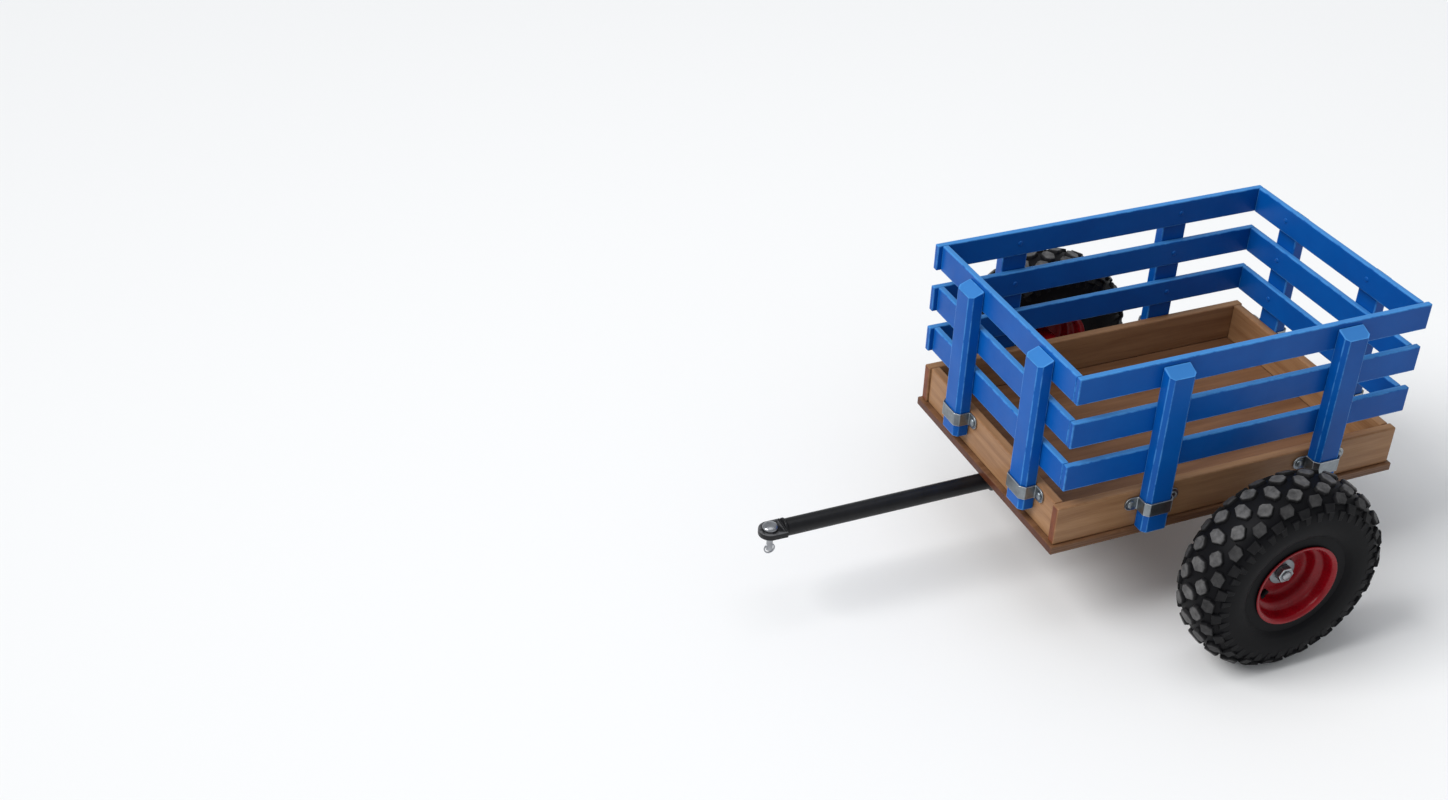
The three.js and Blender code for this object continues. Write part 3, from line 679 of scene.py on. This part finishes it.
def saddle(held, width, ear):
    """A strip that hangs below a round bar of radius held, its ears level with the bar's top: ear,
    bend, straight leg, half circle, leg, bend, ear. The bar's middle is at (0, 0), and b is up."""
    middle = held + fit + saddle_sheet / 2
    flat = held - saddle_sheet / 2
    around = np.linspace(math.pi, 2 * math.pi, 17)[1:-1]
    half_circle = middle * np.stack([np.cos(around), np.sin(around)], 1)
    left = bent([(-ear, flat), (-middle, flat), (-middle, 0)], 2.6 * mm)
    line = np.concatenate([left, half_circle, left[::-1] * (-1, 1)])
    return strip(line, np.full(len(line), width / 2), saddle_sheet, ease=0.7 * mm)


def saddle_piece(node, held, along, across):
    """A saddle set out where its CAD node is, with a bolt head below each ear."""
    low, high = box_of(node)
    middle = (low + high) / 2
    middle[2] = high[2] - held
    ear = abs((high - low) @ across) / 2
    rings, edge = saddle(held, abs((high - low) @ along), ear)
    parts = [loft(set_out(rings, middle, across, z_axis, along), edge)]
    hole = (held + fit + saddle_sheet + ear) / 2
    for x in [-hole, hole]:
        place = middle + across * x + z_axis * (held - saddle_sheet)
        parts.append(loft(set_out(spin(saddle_bolt, 20), place, across, along, -z_axis)))
    return gather(parts)


for side in ["left", "right"]:
    node = f"{side}_axle_saddle"
    part = saddle_piece(node, axle_radius, y_axis, x_axis)
    make(f"{side}_axle_clamp", part, black, "cart", [node])

# ---------------------------------------------------------------- tow bar and tongue
# A straight round tube runs from the axle out past the front of the box, held by two saddles. Its
# tongue is a flat plate welded to a collar and a spigot, drilled for the hitch pin.

bar_low, bar_high = box_of("tow_bar")
bar = (bar_low + bar_high) / 2
bar_radius = (bar_high[2] - bar_low[2]) / 2
bar_wall = 2 * mm
lip = 0.5 * mm
section = [
    (bar_radius - bar_wall, bar_low[0]),
    (bar_radius - lip, bar_low[0]),
    (bar_radius, bar_low[0] + lip),
    (bar_radius, bar_high[0] - lip),
    (bar_radius - lip, bar_high[0]),
    (bar_radius - bar_wall, bar_high[0]),
]
tube = loft(set_out(spin(section, 56), bar * (0, 1, 1), y_axis, z_axis, x_axis), joined=True)
make("tow_tube", tube, black, "cart", ["tow_bar"])
for place in ["rear", "front"]:
    node = f"{place}_bar_saddle"
    part = saddle_piece(node, bar_radius, x_axis, y_axis)
    make(f"{place}_bar_clamp", part, black, "cart", [node])

tongue_low, tongue_high = box_of("hitch_tongue")
tongue_half = (tongue_high[1] - tongue_low[1]) / 2
hitch_x = tongue_high[0] - tongue_half
tongue_thick = 8 * mm
collar_start = bar_high[0] + fit
collar_end = collar_start + 3 * mm
collar_radius = (tongue_high[2] - tongue_low[2]) / 2
spigot = bar_radius - bar_wall - fit
profile = [
    (core, tongue_low[0]),
    (spigot, tongue_low[0]),
    (spigot, collar_start),
    (collar_radius - lip, collar_start),
    (collar_radius, collar_start + lip),
    (collar_radius, collar_end - lip),
    (collar_radius - lip, collar_end),
    (core, collar_end),
]
collar = loft(set_out(spin(profile, 48), bar * (0, 1, 1), y_axis, z_axis, x_axis))
pin_radius = 4 * mm
hole_radius = pin_radius + fit
hole_ease = 0.4 * mm
plate_ease = 0.9 * mm
plate_back = hitch_x - collar_end + 1 * mm
back_corner = math.atan2(tongue_half, -plate_back)
turn = np.linspace(-back_corner, back_corner, 41)
turn = np.concatenate([turn, np.linspace(back_corner, 2 * math.pi - back_corner, 13)[1:-1]])
# how far the plate reaches from the hole: a half circle in front, straight sides and back behind it
never_nought = 1e-6
sideways = tongue_half / np.maximum(np.abs(np.sin(turn)), never_nought)
backwards = plate_back / np.maximum(-np.cos(turn), never_nought)
reach = np.where(np.cos(turn) >= 0, tongue_half, np.minimum(sideways, backwards))
# rings down the hole's wall, out under the plate, up round its eased rim and back over the top
quarter = np.linspace(0, math.pi / 2, 4)
insets = plate_ease * (1 - np.sin(quarter))
rises = plate_ease * (1 - np.cos(quarter))
rises = np.concatenate([rises, tongue_thick - rises[::-1]])
outside = reach[None, :] - np.concatenate([insets, insets[::-1]])[:, None]
mouth = np.full((1, len(turn)), hole_radius + hole_ease)
bore = np.full((2, len(turn)), hole_radius)
radius = np.concatenate([bore, mouth, outside, mouth])
rise = np.concatenate([[tongue_thick - hole_ease, hole_ease, 0.0], rises, [tongue_thick]])
rings = np.stack([radius * np.cos(turn), radius * np.sin(turn)], -1)
rings = np.concatenate([rings, np.broadcast_to(rise[:, None, None], (*radius.shape, 1))], 2)
plate_edge = np.zeros(radius.shape)
plate_edge[3:11] = 1.0
plate_edge[6:8] = 0.4
origin = np.array([hitch_x, bar[1], bar[2] - tongue_thick / 2])
plate = loft(set_out(rings, origin, x_axis, y_axis, z_axis), plate_edge, joined=True)
# each weld is a bead along the plate's end, its radius rising and falling with every dab
weld_turn = np.linspace(0, 2 * math.pi, 9)[:-1]
weld_path = np.linspace(-tongue_half + 2 * mm, tongue_half - 2 * mm, 40)
welds = []
for up in [1, -1]:
    bead = (1.6 + 0.25 * np.sin(2.1 * weld_path / mm)) * mm
    x = collar_end + bead[:, None] * np.cos(weld_turn)
    z = bar[2] + up * tongue_thick / 2 + bead[:, None] * np.sin(weld_turn)
    y = np.broadcast_to(weld_path[:, None], x.shape)
    welds.append(loft(np.stack([x, y, z], -1)))
make("tongue", gather([collar, plate, *welds]), black, "cart", ["hitch_tongue"])

# ---------------------------------------------------------------- hitch pin and ring
# A round-headed steel pin drops through the tongue and the plate that tows it. A split ring in a
# cross hole near its tip keeps it from lifting out.

pin_low, pin_high = box_of("hitch_pin")
pin = (pin_low + pin_high) / 2
head_radius = (pin_high[0] - pin_low[0]) / 2
head_start = bar[2] + tongue_thick / 2 + fit
crown_start = head_start + 2 * mm
angle = np.linspace(0, math.pi / 2 * 0.98, 10)
crown = [head_radius * np.cos(angle), crown_start + (pin_high[2] - crown_start) * np.sin(angle)]
profile = [
    (core, pin_low[2]),
    (pin_radius - 1 * mm, pin_low[2]),
    (pin_radius, pin_low[2] + 1 * mm),
    (pin_radius, head_start),
    (head_radius - 0.4 * mm, head_start),
    (head_radius, head_start + 0.4 * mm),
    *np.stack(crown, 1).tolist(),
]
shank = loft(set_out(spin(profile, 40), pin * (1, 1, 0), x_axis, y_axis, z_axis))
make("pin", shank, steel, "hitch_pin", ["hitch_pin"])

ring_low, ring_high = box_of("hitch_ring")
ring_middle = (ring_low + ring_high) / 2
wire = (ring_high[1] - ring_low[1]) / 4
ring_radius = (ring_high[0] - ring_low[0]) / 2 - 2 * wire
ring_wide, ring_flat = 1.8 * wire, 0.94 * wire
# two turns of flattened wire side by side, which cross over where the first turn ends
turn = np.linspace(math.pi / 2, math.pi / 2 + 4 * math.pi, 129)
shift = wire * np.tanh((turn - turn.mean()) * 3.0)
section, _ = shape(oblong(-1, -1, 1, 1), 0.5, fade=0.1)
radius = ring_radius + ring_wide * section[None, :, 0]
sideways = shift[:, None] + ring_flat * section[None, :, 1]
ring_rings = np.stack([radius * np.cos(turn)[:, None], sideways, radius * np.sin(turn)[:, None]], -1)
coil = loft(set_out(ring_rings, ring_middle, x_axis, y_axis, z_axis))
make("split_ring", coil, steel, "hitch_ring", ["hitch_ring"])

# ---------------------------------------------------------------- tyres
# Moulded rubber tyres with staggered rows of chunky blocks, teeth on the shoulders and a smooth
# sidewall. The blocks' tops are painted grey, partly as scuffs where they have run on the ground
# and partly as a painted highlight where they face the light.


def tyre_rubber(name):
    """Black rubber: a fine grain from the mould, with grey on the blocks' tops that is partly dust and
    scuffs and partly a painted highlight.
    """
    made, tree, shader, where, edge = finish_of(name)
    # painted highlight as well as scuffs: the blocks' tops are blended towards grey by the edge value
    scuff_and_highlight = use(tree, mottle, {"Vector": where, "Scale": 120.0, "Low": 0.35, "High": 1.0})["Value"]
    scuff_and_highlight = math_of(tree, "MULTIPLY", scuff_and_highlight, edge)
    base = cloudy(tree, where, 16.0, colour(9, 9, 11), colour(15, 15, 18))
    base = blend_colours(tree, scuff_and_highlight, base, colour(98, 97, 97))
    tree.links.new(base, shader.inputs["Base Color"])
    tree.links.new(math_of(tree, "MULTIPLY_ADD", scuff_and_highlight, -0.1, 0.5), shader.inputs["Roughness"])
    surface_relief(tree, shader, noise(tree, where, 650.0, 4.0, 0.65), strength=0.35, deep=0.2 * mm)
    shader.inputs["Specular IOR Level"].default_value = 0.08
    return made


rubber = tyre_rubber("tyre_rubber")
tyre_low, tyre_high = box_of("left_wheel_tyre")
tyre_radius = (tyre_high[2] - tyre_low[2]) / 2
tyre_half = (tyre_high[1] - tyre_low[1]) / 2
bead_radius = 52 * mm
bead_half = 33 * mm
block_height = 5 * mm
side_relief = 1.6 * mm
squareness = 2.5
section_middle = (bead_radius + tyre_radius) / 2
casing_tall = tyre_radius - section_middle - block_height
casing_wide = tyre_half - side_relief


def oval(turn, tall, wide):
    """Point of a squarish oval about the section's middle: tall times sin and wide times cos, each
    to the power 2 / squareness with its sign kept. Turn is 0 outboard and a quarter at the tread."""
    s, c = np.sin(turn), np.cos(turn)
    up = np.sign(s) * np.abs(s) ** (2 / squareness)
    out = np.sign(c) * np.abs(c) ** (2 / squareness)
    return np.stack([section_middle + tall * up, wide * out], -1)


# the casing's outline as a line of points: how far each lies along it from the middle of the tread,
# and the way straight out of the rubber there
outline_turn = np.linspace(-0.42, math.pi + 0.42, 2001)
outline = oval(outline_turn, casing_tall, casing_wide)
outline_step = np.gradient(outline, axis=0)
run = np.concatenate([[0], np.cumsum(np.linalg.norm(np.diff(outline, axis=0), axis=1))])
run -= run[len(run) // 2]
away = np.stack([outline_step[:, 1], -outline_step[:, 0]], 1)
away /= np.linalg.norm(away, axis=1, keepdims=True)
away *= np.sign((away * (outline - [section_middle, 0])).sum(1, keepdims=True))


def on_casing(along, height):
    """Radius and place across of a point at a distance along the casing and a height off it."""
    r = np.interp(along, run, outline[:, 0]) + height * np.interp(along, run, away[:, 0])
    y = np.interp(along, run, outline[:, 1]) + height * np.interp(along, run, away[:, 1])
    return np.stack([r, y], -1)


def block(corners, sloped):
    """A block whose walls draw in as they rise: the outline a little larger below the casing, full
    size most of the way up, and smaller on top. sloped is each corner's share of the height."""
    n = len(corners)
    levels = [(1.14, np.full(n, -0.15)), (1.0, 0.82 * sloped), (0.87, sloped)]
    points = np.concatenate([np.column_stack([corners * size, rise]) for size, rise in levels])
    rows = np.arange(3 * n).reshape(3, n)
    ahead = np.roll(rows, -1, 1)
    quads = [np.stack([rows[i], rows[i + 1], ahead[i + 1], ahead[i]], 1).tolist() for i in (0, 1)]
    faces = quads[0] + quads[1] + [rows[2][::-1].tolist(), rows[0].tolist()]
    return points, faces, np.repeat([0.0, 0.25, 1.0], n)


def block_row(count, along, stagger, tall, made, scuff_and_highlight_share):
    """Copies a block round the tyre. Its points are distance along the casing, distance round the
    tread and share of the height. Returns radius, across and turn of every point, faces and edge."""
    points, faces, top = made
    k = len(points)
    radial = on_casing(along + points[:, 0], tall * points[:, 2])
    r, y = (np.tile(radial[:, part], count) for part in (0, 1))
    steps = (np.arange(count) + stagger) * 2 * math.pi / count
    turn = steps[:, None] + points[None, :, 1] / tyre_radius
    every = [[i + k * n for i in face] for n in range(count) for face in faces]
    return r, y, turn.ravel(), every, np.tile(scuff_and_highlight_share * top, count)


blocks_round = 20
chevron = [(-10.5, -3), (0, -8.5), (10.5, -3), (10.5, 3.5), (6, 8.5), (-6, 8.5), (-10.5, 3.5)]
diamond = [(-2, -10), (3, -10), (8, -2.5), (8, 2), (2, 10), (-3, 10), (-8, 2.5), (-8, -2)]
cheek = [(-6.5, -5), (-1, -9.5), (6, -8.5), (6.5, 5), (1, 9.5), (-6, 8.5)]
shoulder = [(-5, -8.5), (5, -7), (5, 7), (-5, 8.5)]
tooth = [(-5.5, -5.5), (6, -3.4), (6, 3.4), (-5.5, 5.5)]
tooth_slope = np.array([1, 0.12, 0.12, 1])
# outline, how many round, distance from the middle, stagger, height, how scuffed and highlit, slope
row_kinds = [
    (chevron, blocks_round, 0, 0.0, block_height, 1.0, np.ones(7)),
    (diamond, blocks_round, 15.5 * mm, 0.5, block_height, 0.9, np.ones(8)),
    (cheek, blocks_round, 28.5 * mm, 0.0, 4.6 * mm, 0.4, np.ones(6)),
    (shoulder, blocks_round, 39 * mm, 0.5, 3.6 * mm, 0.1, np.ones(4)),
    (tooth, 2 * blocks_round, 48 * mm, 0.25, 2.2 * mm, 0.05, tooth_slope),
]
tread = []
for points, count, along, stagger, tall, scuff_and_highlight_share, sloped in row_kinds:
    for sign in [1, -1] if along else [1]:
        corners = np.array(points) * (sign * mm, mm)
        made = block(corners[::sign], sloped[::sign])
        tread.append(block_row(count, sign * along, stagger, tall, made, scuff_and_highlight_share))

bead_turn = -math.acos((bead_half / casing_wide) ** (squareness / 2))
outer = oval(np.linspace(bead_turn, math.pi - bead_turn, 57), casing_tall, casing_wide)
# two low ribs run round each sidewall, each a bell curve over a share of the casing's height
share_up = (outer[:, 0] - section_middle) / casing_tall
rib_height = 0.5 * mm
rib_width = 0.05
ribs = sum(np.exp(-(((share_up - rib) / rib_width) ** 2)) for rib in [-0.45, -0.78])
outer[:, 1] += np.sign(outer[:, 1]) * rib_height * ribs
wall = 4 * mm
inner_turn = np.linspace(math.pi - bead_turn, bead_turn, 29)
inner = oval(inner_turn, casing_tall - wall, casing_wide - wall)
bead_cut = 3.5 * mm
toe = bead_half - bead_cut
heel = toe - 3 * mm
near_bead = [(bead_radius, toe), (bead_radius + bead_cut, bead_half)]
far_bead = [(bead_radius + bead_cut, -bead_half), (bead_radius, -toe), (bead_radius, -heel)]
casing = np.concatenate([near_bead, outer, far_bead, inner, [(bead_radius, heel)]])
outboard = {"left": 1, "right": -1}


def on_wheel(rings, side):
    """Rings about a wheel's axis, third number outboard, set out where the wheel is."""
    low, high = box_of(f"{side}_wheel_tyre")
    sign = outboard[side]
    return set_out(rings, (low + high) / 2, x_axis * sign, z_axis, y_axis * sign)


for side in outboard:
    body = f"{side}_wheel"
    parts = [loft(on_wheel(spin(casing, 160), side), joined=True)]
    for r, y, turn, faces, edge in tread:
        points = on_wheel(np.stack([r * np.cos(turn), r * np.sin(turn), y], -1), side)
        parts.append((points, faces, edge))
    tyre = make(f"{side}_tyre", gather(parts), rubber, body, [f"{body}_tyre"])
    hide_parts(f"{body}_inner_tube")

# ---------------------------------------------------------------- rims, hubs and valves
# Each rim is two pressed steel halves back to back, stoved dark red, with a deep stepped dish and
# a rolled lip. They clamp on the flange of a tubular hub, and the tyre's valve comes out through
# the outer half.


def red_enamel(name):
    """Gloss enamel over pressed steel: a little uneven in tone, with fine waves from the press."""
    made, tree, shader, where, edge = finish_of(name)
    base = cloudy(tree, where, 30.0, colour(140, 8, 22), colour(112, 5, 16))
    bare = worn(tree, edge, where, scale=140.0, amount=0.5, strength=0.4)
    base = blend_colours(tree, bare, base, colour(70, 22, 22))
    tree.links.new(base, shader.inputs["Base Color"])
    uneven_gloss(tree, shader, where, scale=40.0, low=0.22, high=0.36)
    surface_relief(tree, shader, noise(tree, where, 150.0, 3.0), strength=0.12, deep=0.3 * mm)
    shader.inputs["Specular IOR Level"].default_value = 0.25
    return made


def softened(points, rounds=2):
    """A closed line with its corners cut: each side keeps its points a quarter and three quarters
    along, and that is done again for each round."""
    for _ in range(rounds):
        ahead = np.roll(points, -1, 0)
        points = np.stack([0.75 * points + 0.25 * ahead, 0.25 * points + 0.75 * ahead], 1).reshape(-1, 2)
    return points


red = red_enamel("red_enamel")
# one half's section in millimetres, radius and distance outboard: the dish, then the back of it
dish = [
    (16, 2.15), (33, 2.15), (36.5, 4.65), (39, 13.5), (41.5, 16.5), (46.5, 18),
    (48.7, 21.5), (49.5, 32), (52, 35), (56, 36),
]
behind = [
    (56, 34), (52.9, 33.1), (51.5, 31), (50.7, 20.5), (47.5, 16), (42.7, 14.6),
    (41, 12.5), (38.2, 3.75), (34.5, 0.15), (16, 0.15),
]
rim_half = softened(np.array(dish + behind)) * mm
# the hub's tube from its outboard end, with a flange behind the rim and a step for each bearing
hub_profile = np.array([
    (13.3, 4), (15.7, 4), (15.7, -2.45), (26, -2.45), (26, -5.45), (15.7, -5.45),
    (15.7, -50), (13.3, -50), (13.3, -41.7), (9, -41.7), (9, -4.3), (13.3, -4.3),
])


def eased(profile, ease=0.35):
    """A closed profile in millimetres with every corner cut back by ease along both sides."""
    ahead = np.roll(profile, -1, 0) - profile
    behind = np.roll(profile, 1, 0) - profile
    ahead = profile + ahead / np.linalg.norm(ahead, axis=1, keepdims=True) * ease
    behind = profile + behind / np.linalg.norm(behind, axis=1, keepdims=True) * ease
    return np.stack([behind, ahead], 1).reshape(-1, 2) * mm


valve_angle = -math.pi / 4
valve_across = 10 * mm
valve_profile = np.array([
    (0.3, 28), (2.6, 28), (3.4, 28.5), (3.4, 33), (2.9, 33.2),
    (2.9, 34.5), (4.0, 35), (4.0, 47), (0.3, 47),
]) * mm
direction = np.array([math.cos(valve_angle), math.sin(valve_angle), 0])
crosswise = np.array([-math.sin(valve_angle), math.cos(valve_angle), 0])
stem = set_out(spin(valve_profile, 24), (0, 0, valve_across), crosswise, (0, 0, 1), direction)
journal_fit, race_radius = 6.3, 13
races = {"outer": (-4.0, 4.0), "inner": (-50.0, -42.0)}
for side in outboard:
    body = f"{side}_wheel"
    for half, sign in [("outer", 1), ("inner", -1)]:
        rim = loft(on_wheel(spin(rim_half * (1, sign), 112), side), joined=True)
        make(f"{side}_rim_{half}", rim, red, body, [f"{body}_rim_{half}_half"], crease=40)
    hub = loft(on_wheel(spin(eased(hub_profile), 56), side), joined=True)
    make(f"{side}_hub", hub, red, body, [f"{body}_hub"])
    valve = loft(on_wheel(stem, side))
    make(f"{side}_valve", valve, rubber, body, [f"{body}_inner_tube"])
    for place, (start, end) in races.items():
        race = eased(np.array(oblong(journal_fit, start, race_radius, end)), 0.4)
        bearing = loft(on_wheel(spin(race, 48), side), joined=True)
        make(f"{side}_{place}_race", bearing, steel, body, [f"{body}_{place}_bearing"])

# ---------------------------------------------------------------- washers and nuts
# A large plated washer keeps each wheel on its journal, behind a plain six-sided nut.

washer_profile = eased(np.array(oblong(journal_fit, 4.3, 17.5, 6.3)), 0.4)
nut_start = 6.6 * mm
nut_tall = 8 * mm
nut_flats = 19 * mm
nut_turn = np.arange(6) * math.pi / 3
nut_corners = nut_flats / 2 / math.cos(math.pi / 6) * np.stack([np.cos(nut_turn), np.sin(nut_turn)], 1)
for side in outboard:
    washer = loft(on_wheel(spin(washer_profile, 64), side), joined=True)
    make(f"{side}_washer", washer, zinc, "cart", [f"{side}_axle_washer"])
    rings, edge = bar_of(nut_corners, nut_tall, 1.0 * mm, fade=0.8 * mm)
    nut = loft(on_wheel(rings + (0, 0, nut_start), side), edge)
    make(f"{side}_nut", nut, zinc, "cart", [f"{side}_axle_nut"])

# ---------------------------------------------------------------- stage, light and camera
# A wide, flat, pale floor, a broad soft light from high in front and a weaker one overhead, and a
# camera at the eye height of an adult who stands off the wagon's front left corner.

stage_half = 30.0
stage_corners = [(x, y, 0) for x, y in oblong(-stage_half, -stage_half, stage_half, stage_half)]
stage_mesh = bpy.data.meshes.new("stage_floor")
stage_mesh.from_pydata(stage_corners, [], [(0, 1, 2, 3)])
stage = bpy.data.objects.new("stage_floor", stage_mesh)
bpy.context.collection.objects.link(stage)
paper = bpy.data.materials.new("stage_paper")
paper.use_nodes = True
paper_shader = paper.node_tree.nodes["Principled BSDF"]
paper_shader.inputs["Base Color"].default_value = (0.86, 0.86, 0.86, 1)
paper_shader.inputs["Roughness"].default_value = 0.9
stage_mesh.materials.append(paper)

world = bpy.data.worlds.new("studio")
world.use_nodes = True
walls = world.node_tree
walls.nodes["Background"].inputs["Color"].default_value = (0.94, 0.97, 1.0, 1)
# the walls look nearly white but light the wagon more weakly
seen = add(walls, "ShaderNodeLightPath").outputs["Is Camera Ray"]
glow = math_of(walls, "MULTIPLY_ADD", seen, 0.42, 0.5)
walls.links.new(glow, walls.nodes["Background"].inputs["Strength"])
bpy.context.scene.world = world
bpy.context.scene.view_settings.view_transform = "Standard"

front_light = bpy.data.lights.new("front_light", "SUN")
front_light.angle = math.radians(32)
front_light.energy = 2.3
front_lamp = bpy.data.objects.new("front_light", front_light)
front_lamp.rotation_euler = Vector((-0.7, 0.06, -0.71)).to_track_quat("-Z", "Y").to_euler()
bpy.context.collection.objects.link(front_lamp)
overhead_light = bpy.data.lights.new("overhead", "AREA")
overhead_light.size = 1.6
overhead_light.energy = 12
overhead_lamp = bpy.data.objects.new("overhead", overhead_light)
overhead_lamp.location = (0.3, 0, 2.6)
bpy.context.collection.objects.link(overhead_lamp)

eye = Vector((1.1258, 1.5629, 1.4686))
aim = Vector((0.3452, -0.2675, 0.1373))
lean = 0.0301
camera = bpy.data.cameras.new("camera")
camera.lens = 44.75
camera.sensor_width = 36
viewer = bpy.data.objects.new("camera", camera)
turned = (aim - eye).to_track_quat("-Z", "Y").to_matrix() @ Matrix.Rotation(lean, 3, "Z")
viewer.matrix_world = Matrix.Translation(eye) @ turned.to_4x4()
bpy.context.collection.objects.link(viewer)
bpy.context.scene.camera = viewer

bpy.context.view_layer.update()
